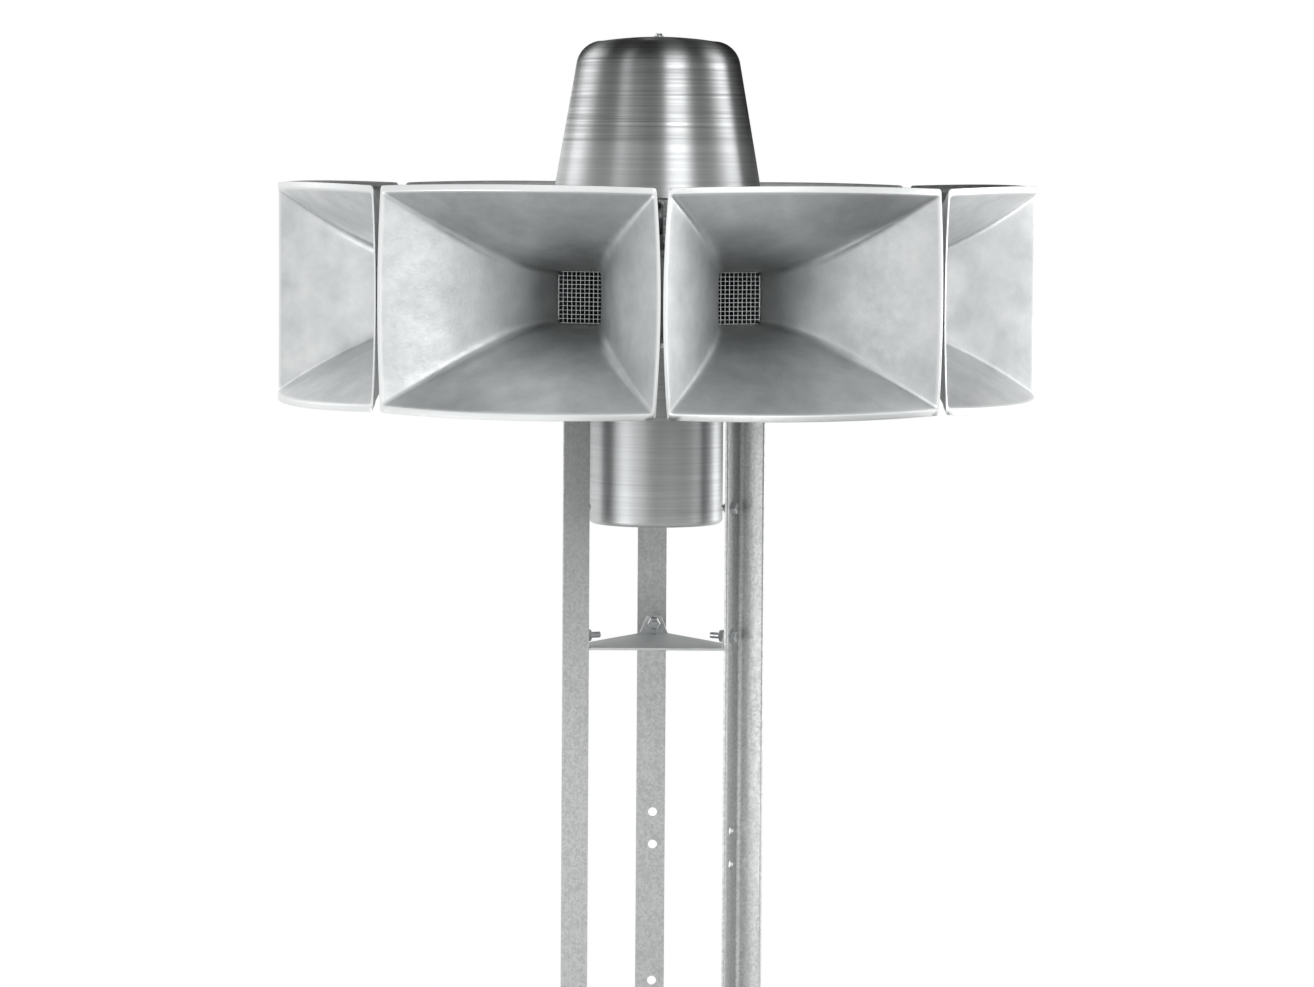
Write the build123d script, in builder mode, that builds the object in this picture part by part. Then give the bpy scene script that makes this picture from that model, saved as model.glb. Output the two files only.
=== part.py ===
# A civil defence siren on a three-legged angle-iron tower.
# Eight cast horns stand round a chopper casing, under a spun rain hood and over a motor cover.
# Millimetres, +Z up, origin on the ground under the siren's axis, the photographed side faces -Y.
import os
from math import cos, degrees, radians, sin, sqrt

from build123d import *

os.makedirs("parts", exist_ok=True)

# Shared
horn_centre_height = 1610.0
cut_overrun = 30.0
seat_clearance = 0.2

# Horns: eight castings, each with a rectangular throat that flares to a wide mouth
horn_count = 8
mouth_radius = 572.0
mouth_half_width = 203.5
mouth_half_height = 152.0
mouth_side_bow = 10.6
crown_axis_setback = 75.0
crown_rise = 3.6
throat_radius = 299.0
throat_half_width = 34.7
throat_half_height = 38.3
height_bend_share = 0.41
width_bend_share = 0.588
width_bend_rise_share = 0.2235
flare_overrun = 60.0
horn_wall = 6.0
rim_lip_height = 10.0
rim_lip_depth = 10.0
horn_flange_width = 118.0
horn_flange_height = 112.0
horn_flange_thickness = 10.0

# Throat screens: square wire cloth set across each throat
screen_spacing = 6.35
screen_wire = 1.2
screen_edge = 2.0

# Chopper casing: an octagonal ring between two round plates
casing_flat_radius = 205.0
casing_wall = 25.0
casing_half_height = 60.0
plate_overhang = 2.0
plate_thickness = 8.0
intake_radius = 95.0

# Rotor and its bearing
rotor_clearance = 5.0
rotor_wall = 8.0
rotor_floor = 8.0
rotor_vane = 6.0
land_overlap = 4.0
hub_radius = 45.0
hub_height = 70.0
shaft_radius = 16.0
shaft_tail = 60.0
shaft_clearance = 0.05
bearing_radius = 40.0
thrust_clearance = 0.3

# Rain hood: a spun cone with a rounded shoulder and a slightly domed crown
hood_sheet = 2.0
hood_lift = 74.0
hood_bottom_radius = 158.6
hood_shoulder_radius = 118.8
hood_cone_height = 230.0
hood_crown_rise = 13.0
hood_shoulder_round = 40.0

# Hood strap: the bent flat bar that carries the hood by one stud
strap_width = 40.0
strap_thickness = 5.0
strap_foot_inset = 36.6
strap_foot_length = 26.0
strap_top_inset = 58.8
strap_shoulder_inset = 14.8
strap_shoulder_drop = 44.0
strap_crown_gap = 14.0
strap_bend = 7.0
stud_radius = 3.2
stud_boss_radius = 15.0
stud_height = 5.0
stud_hole_clearance = 0.5

# Intake guard: the screen drum that closes the gap under the hood
guard_hood_gap = 8.6
guard_sheet = 1.5
guard_tuck = 10.0
guard_slots = 48
guard_band = 5.0
guard_slot_share = 0.72

# Lifting eyes
eye_edge_distance = 32.0
eye_ring_radius = 19.0
eye_bar_radius = 6.0
eye_shank_height = 27.0
eye_collar_radius = 13.0
eye_collar_height = 9.0

# Motor cover
cover_radius = 101.8
cover_sheet = 2.0
cover_length = 282.0
cover_round = 8.0

# Legs: rolled steel angle, the flat flange tangent to the siren and the other pointing out
leg_cover_gap = 28.2
leg_flange = 44.45
leg_thickness = 4.76
leg_gauge = 25.4
leg_root_round = 6.0
leg_toe_round = 2.4
leg_hole_diameter = 14.3
leg_hole_spacing = 50.8
leg_hole_pairs = 3
leg_first_hole_drop = 812.0
leg_last_hole_height = 268.0

# Leg brackets under the bottom plate
bracket_width = 36.0
bracket_thickness = 6.0
bracket_height = 74.0
bracket_cover_clearance = 4.2

# Spreader: a triangular plate with an upturned ear on each leg
spreader_drop = 532.0
spreader_thickness = 4.0
ear_half_width = 22.0
ear_height = 28.0
ear_tip_half_width = 11.0
ear_round = 5.5

# Base plate
base_thickness = 10.0
base_margin = 21.55
base_half_width = 52.0
base_round = 14.0
anchor_circle_radius = 112.0
anchor_radius = 9.0

# Derived places
horn_step = 360 / horn_count
first_horn_angle = horn_step / 2
casing_top = horn_centre_height + casing_half_height
casing_bottom = horn_centre_height - casing_half_height
deck_top = casing_top + plate_thickness
deck_bottom = casing_bottom - plate_thickness
casing_bore_radius = casing_flat_radius - casing_wall
plate_radius = casing_flat_radius / cos(radians(horn_step / 2)) + plate_overhang
leg_radius = cover_radius + leg_cover_gap
leg_angles = {"rear": 0, "right": -120, "left": 120}
siren_axis = Axis((0, 0, 0), (0, 0, 1))


def half_turn_plane(origin, x_dir, z_dir, turn):
    """A sketch plane turned back about +Z, so that a turned wall has its seam clear of the horn."""
    return Plane(
        origin=origin,
        x_dir=Vector(x_dir).rotate(siren_axis, turn),
        z_dir=Vector(z_dir).rotate(siren_axis, turn),
    )


def flared_duct(start_radius, side_wall, crown_wall):
    """The space inside a horn that looks along +X, grown sideways and upwards by its walls."""
    turn = horn_step
    axis_point = (-crown_axis_setback, 0, horn_centre_height)
    crown_plane = half_turn_plane(axis_point, (1, 0, 0), (0, -1, 0), -turn)
    half_height = throat_half_height + crown_wall
    mouth_height = mouth_half_height + crown_rise + crown_wall
    height_bend = throat_radius + height_bend_share * (mouth_radius - throat_radius)
    with BuildPart() as crown:
        with BuildSketch(crown_plane):
            with BuildLine():
                neck = Line(
                    (start_radius + crown_axis_setback, half_height),
                    (throat_radius + crown_axis_setback, half_height),
                )
                flare = Bezier(
                    neck @ 1,
                    (height_bend + crown_axis_setback, half_height),
                    (mouth_radius + crown_axis_setback, mouth_height),
                )
                run_out = Line(flare @ 1, flare @ 1 + (flare % 1) * flare_overrun)
                Line(run_out @ 1, ((run_out @ 1).X, 0))
                Line(neck @ 0, (start_radius + crown_axis_setback, 0))
                mirror(about=Plane.XZ)
            make_face()
        revolve(axis=Axis(axis_point, (0, 0, 1)), revolution_arc=2 * turn)

    half_width = throat_half_width + side_wall
    mouth_width = mouth_half_width + mouth_side_bow + side_wall
    mouth_reach = sqrt(mouth_radius**2 - (mouth_half_width + mouth_side_bow) ** 2)
    width_bend = throat_radius + width_bend_share * (mouth_reach - throat_radius)
    bend_width = half_width + width_bend_rise_share * (mouth_width - half_width)
    bow_radius = mouth_half_height**2 / (2 * mouth_side_bow)
    far_side = bow_radius - 2 * mouth_width
    bow_axis = Axis((0, -bow_radius, horn_centre_height), (1, 0, 0))
    swing = degrees(2 * mouth_half_height / bow_radius)
    side_plane = Plane(origin=(0, -bow_radius, horn_centre_height)).rotated((-swing, 0, 0))
    with BuildPart() as side:
        with BuildSketch(side_plane):
            with BuildLine():
                neck = Line(
                    (start_radius, bow_radius + half_width),
                    (throat_radius, bow_radius + half_width),
                )
                flare = Bezier(
                    neck @ 1,
                    (width_bend, bow_radius + bend_width),
                    (mouth_reach, bow_radius + mouth_width),
                )
                run_out = Line(flare @ 1, flare @ 1 + (flare % 1) * flare_overrun)
                Line(run_out @ 1, ((run_out @ 1).X, far_side))
                Line(((run_out @ 1).X, far_side), (start_radius, far_side))
                Line((start_radius, far_side), neck @ 0)
            make_face()
        revolve(axis=bow_axis, revolution_arc=2 * swing)

    with BuildPart() as duct:
        add(crown.part)
        add(side.part, mode=Mode.INTERSECT)
        add(side.part.mirror(Plane.XZ), mode=Mode.INTERSECT)
    return duct.part


# One horn casting that looks along +X
horn_inside = flared_duct(casing_flat_radius - cut_overrun, 0, 0)
horn_outside = flared_duct(casing_flat_radius, horn_wall, horn_wall)
rim_outside = flared_duct(casing_flat_radius, horn_wall, rim_lip_height)
mouth_cut_bottom = horn_centre_height - mouth_half_height - flare_overrun
mouth_cut_height = 2 * (mouth_half_height + flare_overrun)
flange_plane = Plane(origin=(casing_flat_radius, 0, horn_centre_height), x_dir=(0, 1, 0), z_dir=(1, 0, 0))
with BuildPart() as rim:
    add(rim_outside)
    with BuildSketch(Plane.XY.offset(mouth_cut_bottom)):
        Circle(mouth_radius - rim_lip_depth)
    extrude(amount=mouth_cut_height, mode=Mode.SUBTRACT)

with BuildPart() as horn_casting:
    add(horn_outside)
    add(rim.part)
    with BuildSketch(Plane.XY.offset(mouth_cut_bottom)):
        Circle(mouth_radius)
    extrude(amount=mouth_cut_height, mode=Mode.INTERSECT)
    with BuildSketch(flange_plane):
        Rectangle(horn_flange_width, horn_flange_height)
    extrude(amount=horn_flange_thickness)
    add(horn_inside, mode=Mode.SUBTRACT)

# One throat screen across the same horn
throat_bow = mouth_side_bow * (throat_half_height / mouth_half_height) ** 2
screen_width = 2 * (throat_half_width - throat_bow - seat_clearance)
screen_height = 2 * (throat_half_height - seat_clearance)
screen_columns = int((screen_width - 2 * screen_edge) // screen_spacing)
screen_rows = int((screen_height - 2 * screen_edge) // screen_spacing)
screen_plane = Plane(origin=(throat_radius, 0, horn_centre_height), x_dir=(0, 1, 0), z_dir=(-1, 0, 0))
with BuildPart() as throat_screen:
    with BuildSketch(screen_plane):
        Rectangle(screen_width, screen_height)
        with GridLocations(screen_spacing, screen_spacing, screen_columns, screen_rows):
            Rectangle(screen_spacing - screen_wire, screen_spacing - screen_wire, mode=Mode.SUBTRACT)
    extrude(amount=screen_wire)

for index in range(horn_count):
    turn = first_horn_angle + index * horn_step
    with BuildPart() as horn:
        add(horn_casting.part, rotation=(0, 0, turn))
    horn.part.label = f"horn_{index + 1}"
    export_step(horn.part, f"parts/horn_{index + 1}.step")
    with BuildPart() as screen:
        add(throat_screen.part, rotation=(0, 0, turn))
    screen.part.label = f"throat_screen_{index + 1}"
    export_step(screen.part, f"parts/throat_screen_{index + 1}.step")

# Casing ring with one port behind each horn
port_length = casing_wall + 2 * cut_overrun
with BuildPart() as stator_ring:
    with BuildSketch(Plane.XY.offset(casing_bottom)):
        RegularPolygon(casing_flat_radius, horn_count, major_radius=False)
        Circle(casing_bore_radius, mode=Mode.SUBTRACT)
    extrude(amount=2 * casing_half_height)
    with Locations((0, 0, horn_centre_height)):
        with PolarLocations(casing_flat_radius - casing_wall / 2, horn_count, start_angle=first_horn_angle):
            Box(port_length, 2 * throat_half_width, 2 * throat_half_height, mode=Mode.SUBTRACT)
stator_ring.part.label = "stator_ring"
export_step(stator_ring.part, "parts/stator_ring.step")

# Top plate with the air intake
with BuildPart() as top_plate:
    with BuildSketch(Plane.XY.offset(casing_top)):
        Circle(plate_radius)
        Circle(intake_radius, mode=Mode.SUBTRACT)
    extrude(amount=plate_thickness)
top_plate.part.label = "top_plate"
export_step(top_plate.part, "parts/top_plate.step")

# Bottom plate with the bearing boss that carries the rotor
rotor_bottom = casing_bottom + rotor_clearance
boss_top = rotor_bottom - thrust_clearance
with BuildPart() as bottom_plate:
    with BuildSketch(Plane.XY.offset(deck_bottom)):
        Circle(plate_radius)
    extrude(amount=plate_thickness)
    with BuildSketch(Plane.XY.offset(deck_bottom)):
        Circle(bearing_radius)
    extrude(amount=boss_top - deck_bottom)
    with BuildSketch(Plane.XY.offset(deck_bottom)):
        Circle(shaft_radius + shaft_clearance)
    extrude(amount=boss_top - deck_bottom, mode=Mode.SUBTRACT)
bottom_plate.part.label = "bottom_plate"
export_step(bottom_plate.part, "parts/bottom_plate.step")

# Rotor: a slotted drum on a finned hub; at rest its lands close the ports
rotor_radius = casing_bore_radius - rotor_clearance
rotor_height = 2 * (casing_half_height - rotor_clearance)
rotor_slot_length = rotor_wall + 2 * cut_overrun
rotor_slot_width = 2 * (throat_half_width - land_overlap)
with BuildPart() as chopper_rotor:
    with BuildSketch(Plane.XY.offset(rotor_bottom)):
        Circle(rotor_radius)
    extrude(amount=rotor_floor)
    with BuildSketch(Plane.XY.offset(rotor_bottom)):
        Circle(rotor_radius)
        Circle(rotor_radius - rotor_wall, mode=Mode.SUBTRACT)
    extrude(amount=rotor_height)
    with Locations((0, 0, horn_centre_height)):
        with PolarLocations(rotor_radius - rotor_wall / 2, horn_count):
            Box(rotor_slot_length, rotor_slot_width, 2 * throat_half_height, mode=Mode.SUBTRACT)
    with Locations((0, 0, rotor_bottom)):
        with PolarLocations(hub_radius, horn_count, start_angle=first_horn_angle):
            Box(
                rotor_radius - hub_radius - rotor_wall / 2,
                rotor_vane,
                hub_height,
                align=(Align.MIN, Align.CENTER, Align.MIN),
            )
    with BuildSketch(Plane.XY.offset(rotor_bottom)):
        Circle(hub_radius + rotor_vane / 2)
    extrude(amount=hub_height)
    with BuildSketch(Plane.XY.offset(rotor_bottom)):
        Circle(shaft_radius)
    extrude(amount=-(boss_top - deck_bottom + shaft_tail))
chopper_rotor.part.label = "chopper_rotor"
export_step(chopper_rotor.part, "parts/chopper_rotor.step")

# Rain hood, a shell of revolution with a stud hole in its crown
hood_bottom = deck_top + hood_lift
hood_corner = hood_bottom + hood_cone_height
hood_top = hood_corner + hood_crown_rise
crown_sphere_radius = (hood_shoulder_radius**2 + hood_crown_rise**2) / (2 * hood_crown_rise)
crown_mid_drop = crown_sphere_radius - sqrt(crown_sphere_radius**2 - (hood_shoulder_radius / 2) ** 2)
with BuildPart() as rain_hood:
    with BuildSketch(Plane.XZ):
        with BuildLine():
            cone = Line((hood_bottom_radius, hood_bottom), (hood_shoulder_radius, hood_corner))
            crown = ThreePointArc(
                cone @ 1,
                (hood_shoulder_radius / 2, hood_top - crown_mid_drop),
                (0, hood_top),
            )
            Line(crown @ 1, (0, hood_bottom))
            Line((0, hood_bottom), cone @ 0)
        make_face()
        shoulder = vertices().filter_by_position(Axis.Y, hood_corner - hood_sheet, hood_corner + hood_sheet)
        fillet(shoulder, hood_shoulder_round)
    revolve(axis=siren_axis)
    offset(amount=-hood_sheet, openings=faces().sort_by(Axis.Z)[0])
    with BuildSketch(Plane.XY.offset(hood_bottom)):
        Circle(stud_radius + stud_hole_clearance)
    extrude(amount=2 * hood_cone_height, mode=Mode.SUBTRACT)
rain_hood.part.label = "rain_hood"
export_step(rain_hood.part, "parts/rain_hood.step")

# Hood strap: feet on the top plate, sides leaning in, and a welded stud under the crown
strap_top = hood_top - hood_sheet - strap_crown_gap
strap_foot_radius = hood_bottom_radius - strap_foot_inset
strap_top_radius = hood_shoulder_radius - strap_top_inset
strap_shoulder_radius = hood_shoulder_radius - strap_shoulder_inset
boss_sag = stud_boss_radius**2 / (2 * (crown_sphere_radius - hood_sheet))
with BuildPart() as hood_strap:
    with BuildSketch(Plane.XZ.offset(-strap_width / 2)):
        with BuildLine() as strap_line:
            FilletPolyline(
                (-strap_foot_radius + strap_foot_length, deck_top),
                (-strap_foot_radius, deck_top),
                (-strap_shoulder_radius, strap_top - strap_shoulder_drop),
                (-strap_top_radius, strap_top),
                (strap_top_radius, strap_top),
                (strap_shoulder_radius, strap_top - strap_shoulder_drop),
                (strap_foot_radius, deck_top),
                (strap_foot_radius - strap_foot_length, deck_top),
                radius=strap_bend + strap_thickness,
            )
            offset(amount=strap_thickness, side=Side.RIGHT)
        make_face()
    extrude(amount=strap_width)
    with BuildSketch(Plane.XY.offset(strap_top)):
        Circle(stud_boss_radius)
    extrude(amount=strap_crown_gap - boss_sag)
    with BuildSketch(Plane.XY.offset(strap_top)):
        Circle(stud_radius)
    extrude(amount=strap_crown_gap + hood_sheet + stud_height)
hood_strap.part.label = "hood_strap"
export_step(hood_strap.part, "parts/hood_strap.step")

# Intake guard drum
guard_radius = hood_bottom_radius - guard_hood_gap
guard_height = hood_lift + guard_tuck
guard_slot_length = guard_sheet + 2 * cut_overrun
guard_slot_width = 2 * guard_radius * sin(radians(180 / guard_slots)) * guard_slot_share
with BuildPart() as intake_guard:
    with BuildSketch(Plane.XY.offset(deck_top)):
        Circle(guard_radius)
        Circle(guard_radius - guard_sheet, mode=Mode.SUBTRACT)
    extrude(amount=guard_height)
    with Locations((0, 0, deck_top + guard_height / 2)):
        with PolarLocations(guard_radius - guard_sheet / 2, guard_slots):
            Box(guard_slot_length, guard_slot_width, guard_height - 2 * guard_band, mode=Mode.SUBTRACT)
intake_guard.part.label = "intake_guard"
export_step(intake_guard.part, "parts/intake_guard.step")

# Lifting eyes on the top plate, front and rear, each ring in a radial plane
eye_radius = plate_radius - eye_edge_distance
eye_centre = deck_top + eye_shank_height + eye_ring_radius
for name, side in {"front": -1, "rear": 1}.items():
    with BuildPart() as lifting_eye:
        with Locations(Location((0, side * eye_radius, eye_centre), (0, 90, 0))):
            Torus(eye_ring_radius, eye_bar_radius)
        with BuildSketch(Plane(origin=(0, side * eye_radius, deck_top))):
            Circle(eye_bar_radius)
        extrude(amount=eye_shank_height)
        with BuildSketch(Plane(origin=(0, side * eye_radius, deck_top))):
            RegularPolygon(eye_collar_radius, 6)
        extrude(amount=eye_collar_height)
    lifting_eye.part.label = f"lifting_eye_{name}"
    export_step(lifting_eye.part, f"parts/lifting_eye_{name}.step")

# Motor cover: a spun cup closed at the bottom
cover_bottom = deck_bottom - cover_length
with BuildPart() as motor_cover:
    with BuildSketch(Plane.XY.offset(cover_bottom)):
        Circle(cover_radius)
    extrude(amount=cover_length)
    fillet(edges().sort_by(Axis.Z)[0], cover_round)
    offset(amount=-cover_sheet, openings=faces().sort_by(Axis.Z)[-1])
motor_cover.part.label = "motor_cover"
export_step(motor_cover.part, "parts/motor_cover.step")

# Legs and the brackets that hold them under the bottom plate
first_hole_height = horn_centre_height - leg_first_hole_drop
leg_hole_step = (first_hole_height - leg_last_hole_height) / (leg_hole_pairs - 1)
bracket_reach = leg_cover_gap - bracket_cover_clearance
for name, turn in leg_angles.items():
    with BuildPart() as straight_leg:
        with BuildSketch(Plane.XY.offset(base_thickness)):
            with BuildLine():
                Polyline(
                    (-leg_gauge, leg_radius),
                    (leg_flange - leg_gauge, leg_radius),
                    (leg_flange - leg_gauge, leg_radius + leg_thickness),
                    (leg_thickness - leg_gauge, leg_radius + leg_thickness),
                    (leg_thickness - leg_gauge, leg_radius + leg_flange),
                    (-leg_gauge, leg_radius + leg_flange),
                    close=True,
                )
            make_face()
            root = vertices().sort_by_distance((leg_thickness - leg_gauge, leg_radius + leg_thickness))[0]
            fillet(root, leg_root_round)
            toe = vertices().sort_by_distance((leg_flange - leg_gauge, leg_radius + leg_thickness))[0]
            fillet(toe, leg_toe_round)
            tip = vertices().sort_by_distance((leg_thickness - leg_gauge, leg_radius + leg_flange))[0]
            fillet(tip, leg_toe_round)
        extrude(amount=deck_bottom - base_thickness)
        for pair in range(leg_hole_pairs):
            upper_hole = first_hole_height - pair * leg_hole_step
            with BuildSketch(Plane.XZ.offset(-leg_radius)):
                with Locations((0, upper_hole), (0, upper_hole - leg_hole_spacing)):
                    Circle(leg_hole_diameter / 2)
            extrude(amount=-leg_thickness, mode=Mode.SUBTRACT)
    with BuildPart() as leg:
        add(straight_leg.part, rotation=(0, 0, turn))
    leg.part.label = f"leg_{name}"
    export_step(leg.part, f"parts/leg_{name}.step")

    with BuildPart() as straight_bracket:
        with Locations((0, leg_radius, deck_bottom)):
            Box(
                bracket_width,
                bracket_thickness,
                bracket_height,
                align=(Align.CENTER, Align.MAX, Align.MAX),
            )
            Box(
                bracket_width,
                bracket_reach,
                bracket_thickness,
                align=(Align.CENTER, Align.MAX, Align.MAX),
            )
    with BuildPart() as bracket:
        add(straight_bracket.part, rotation=(0, 0, turn))
    bracket.part.label = f"leg_bracket_{name}"
    export_step(bracket.part, f"parts/leg_bracket_{name}.step")


def three_sided(reach, half_width):
    """Corners of a triangle with cut-off points, one cut edge square to each leg."""
    corners = []
    for turn in (0, 120, 240):
        for side in (1, -1):
            corner = Vector(side * half_width, reach, 0).rotate(siren_axis, turn)
            corners.append((corner.X, corner.Y))
    return corners


# Spreader plate with an ear bolted to the inner face of each leg
spreader_top = horn_centre_height - spreader_drop
with BuildPart() as straight_ear:
    with BuildSketch(Plane.XZ.offset(-leg_radius)):
        with BuildLine():
            Polyline(
                (-ear_half_width, spreader_top - spreader_thickness),
                (-ear_half_width, spreader_top),
                (-ear_tip_half_width, spreader_top + ear_height),
                (ear_tip_half_width, spreader_top + ear_height),
                (ear_half_width, spreader_top),
                (ear_half_width, spreader_top - spreader_thickness),
                close=True,
            )
        make_face()
        fillet(vertices().sort_by(Axis.Y)[-2:], ear_round)
    extrude(amount=spreader_thickness)
with BuildPart() as leg_spreader:
    with BuildSketch(Plane.XY.offset(spreader_top - spreader_thickness)):
        with BuildLine():
            Polyline(*three_sided(leg_radius, ear_half_width), close=True)
        make_face()
    extrude(amount=spreader_thickness)
    for turn in leg_angles.values():
        add(straight_ear.part, rotation=(0, 0, turn))
leg_spreader.part.label = "leg_spreader"
export_step(leg_spreader.part, "parts/leg_spreader.step")

# Base plate under the legs, with an anchor hole between each two legs
base_radius = leg_radius + leg_flange + base_margin
with BuildPart() as base_plate:
    with BuildSketch():
        with BuildLine():
            Polyline(*three_sided(base_radius, base_half_width), close=True)
        make_face()
        fillet(vertices(), base_round)
        with PolarLocations(anchor_circle_radius, 3, start_angle=-90):
            Circle(anchor_radius, mode=Mode.SUBTRACT)
    extrude(amount=base_thickness)
base_plate.part.label = "base_plate"
export_step(base_plate.part, "parts/base_plate.step")
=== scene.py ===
# A civil defence siren tower: the finish of every piece, in metres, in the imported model's own frame.
# The sections follow the tower as it is put together, from the ground to the rain hood.
import math

import bmesh
import bpy
import numpy as np
from mathutils import Matrix, Vector


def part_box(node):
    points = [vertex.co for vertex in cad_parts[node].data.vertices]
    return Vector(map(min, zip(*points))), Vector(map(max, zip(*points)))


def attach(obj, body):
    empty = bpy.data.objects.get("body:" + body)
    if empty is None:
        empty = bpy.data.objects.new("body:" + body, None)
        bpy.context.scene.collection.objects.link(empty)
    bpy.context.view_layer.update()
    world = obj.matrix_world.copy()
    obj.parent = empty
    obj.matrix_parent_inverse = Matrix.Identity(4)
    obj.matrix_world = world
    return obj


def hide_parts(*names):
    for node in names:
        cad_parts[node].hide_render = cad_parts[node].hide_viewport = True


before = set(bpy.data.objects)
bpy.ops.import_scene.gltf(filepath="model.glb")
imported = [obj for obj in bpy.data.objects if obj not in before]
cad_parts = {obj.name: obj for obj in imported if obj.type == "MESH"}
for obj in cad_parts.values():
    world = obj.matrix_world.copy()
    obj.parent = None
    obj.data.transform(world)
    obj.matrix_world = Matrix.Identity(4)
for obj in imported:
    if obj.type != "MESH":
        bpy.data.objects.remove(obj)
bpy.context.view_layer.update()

# Base plate and legs: rolled steel angle and flat plate, drilled, welded and then hot-dip galvanised.
# The zinc sets in pale, soft-edged crystals a few millimetres across, with runs down the angle.
spangle_size = 0.0034
zinc_run_width = 0.0016
zinc_run_length = 0.090
dip_edge_round = 0.0009
sharp_edge = math.radians(40)
merge_distance = 1e-6


def linear(hex_colour):
    """An sRGB hex colour as linear RGBA."""
    channels = [int(hex_colour[i:i + 2], 16) / 255 for i in (1, 3, 5)]
    return [c / 12.92 if c <= 0.04045 else ((c + 0.055) / 1.055) ** 2.4 for c in channels] + [1.0]


def fill(tree, node, inputs):
    """Fills a node's inputs: with values, sockets or nodes' first outputs."""
    for key, value in inputs.items():
        several = isinstance(value, tuple) and isinstance(value[0], bpy.types.Node)
        for source in value if several else (value,):
            if isinstance(source, bpy.types.Node):
                source = source.outputs[0]
            if isinstance(source, bpy.types.NodeSocket):
                tree.links.new(source, node.inputs[key])
            else:
                node.inputs[key].default_value = source


def add_node(tree, kind, inputs=None, **settings):
    """Adds a node, sets its properties and fills its inputs."""
    node = tree.nodes.new(kind)
    for name, value in settings.items():
        setattr(node, name, value)
    fill(tree, node, inputs or {})
    return node


def plain_finish(name, roughness, metallic=1.0):
    """A finish with nothing on it yet: its material, node tree, shader and the piece's own axes."""
    material = bpy.data.materials.new(name)
    material.use_nodes = True
    tree = material.node_tree
    shader = tree.nodes["Principled BSDF"]
    fill(tree, shader, {"Metallic": metallic, "Roughness": roughness})
    return material, tree, shader, add_node(tree, "ShaderNodeTexCoord").outputs["Object"]


def galvanised_steel():
    """Hot-dip zinc on rolled steel: dull, pale and patchy, with faint runs along the bar."""
    material, tree, shader, place = plain_finish("galvanised_steel", 0.5)
    spangle = add_node(tree, "ShaderNodeTexVoronoi", {"Vector": place, "Scale": 1 / spangle_size})
    patch = add_node(tree, "ShaderNodeSeparateColor", {0: spangle.outputs["Color"]})
    along = add_node(tree, "ShaderNodeMapping", {
        "Vector": place,
        "Scale": (1 / zinc_run_width, 1 / zinc_run_width, 1 / zinc_run_length),
    })
    runs = add_node(tree, "ShaderNodeTexNoise", {"Vector": along, "Scale": 1.0, "Detail": 3.0})
    both = add_node(tree, "ShaderNodeMath", {0: patch, 1: runs}, operation="ADD")
    blend = add_node(tree, "ShaderNodeMapRange", {0: both, 1: 0.3, 2: 1.5})
    colour = add_node(tree, "ShaderNodeMix", {
        0: blend, 6: linear("#b6b8b8"), 7: linear("#cdcece"),
    }, data_type="RGBA")
    gloss = add_node(tree, "ShaderNodeMapRange", {0: both, 1: 0.2, 2: 1.6, 3: 0.54, 4: 0.42})
    bump = add_node(tree, "ShaderNodeBump", {"Height": both, "Strength": 0.12, "Distance": 0.0006})
    fill(tree, shader, {"Base Color": colour.outputs[2], "Roughness": gloss, "Normal": bump})
    return material


def linked(name, data):
    """An object for a mesh, lamp or camera, linked to the scene."""
    thing = bpy.data.objects.new(name, data)
    bpy.context.scene.collection.objects.link(thing)
    return thing


def finished_piece(name, mesh, material, sharp_degrees):
    """Merges a mesh's doubles, turns its faces outwards, sets its edges and finish, and links it."""
    form = bmesh.new()
    form.from_mesh(mesh)
    bmesh.ops.remove_doubles(form, verts=form.verts, dist=merge_distance)
    bmesh.ops.recalc_face_normals(form, faces=form.faces)
    form.to_mesh(mesh)
    form.free()
    mesh.polygons.foreach_set("use_smooth", [True] * len(mesh.polygons))
    mesh.set_sharp_from_angle(angle=math.radians(sharp_degrees))
    if material:
        mesh.materials.clear()
        mesh.materials.append(material)
    return linked(name, mesh)


def eased(node, material, edge_round):
    """A copy of a solid with its sharp edges rounded, as zinc leaves them, in the solid's place."""
    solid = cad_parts[node]
    mesh = solid.data.copy()
    mesh.transform(solid.matrix_world)
    form = bmesh.new()
    form.from_mesh(mesh)
    bmesh.ops.remove_doubles(form, verts=form.verts, dist=merge_distance)
    flat = math.radians(1)
    bmesh.ops.dissolve_limit(form, angle_limit=flat, verts=form.verts, edges=form.edges)
    sharp = [edge for edge in form.edges if edge.is_manifold and edge.calc_face_angle() > sharp_edge]
    bmesh.ops.bevel(
        form, geom=sharp, offset=edge_round, segments=3, profile=0.5, affect="EDGES", clamp_overlap=True,
    )
    form.to_mesh(mesh)
    form.free()
    piece = finished_piece(f"{node}_eased", mesh, material, sharp_degrees=15)
    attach(piece, "tower")
    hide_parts(node)


leg_names = ("left", "right", "rear")
galvanised = galvanised_steel()
for node in ["base_plate"] + ["leg_" + name for name in leg_names]:
    eased(node, galvanised, dip_edge_round)

# Spreader and leg brackets: pressed steel plate with a thin bright plating, smoother than the dip coat.
# The spreader's ears are folded up and bolted to the inner face of each leg.
plate_edge_round = 0.0008
zinc_cloud = 0.018
# the plating's own grain is too fine to show, so it is drawn about a millimetre wide
zinc_grain = 0.0012


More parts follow.
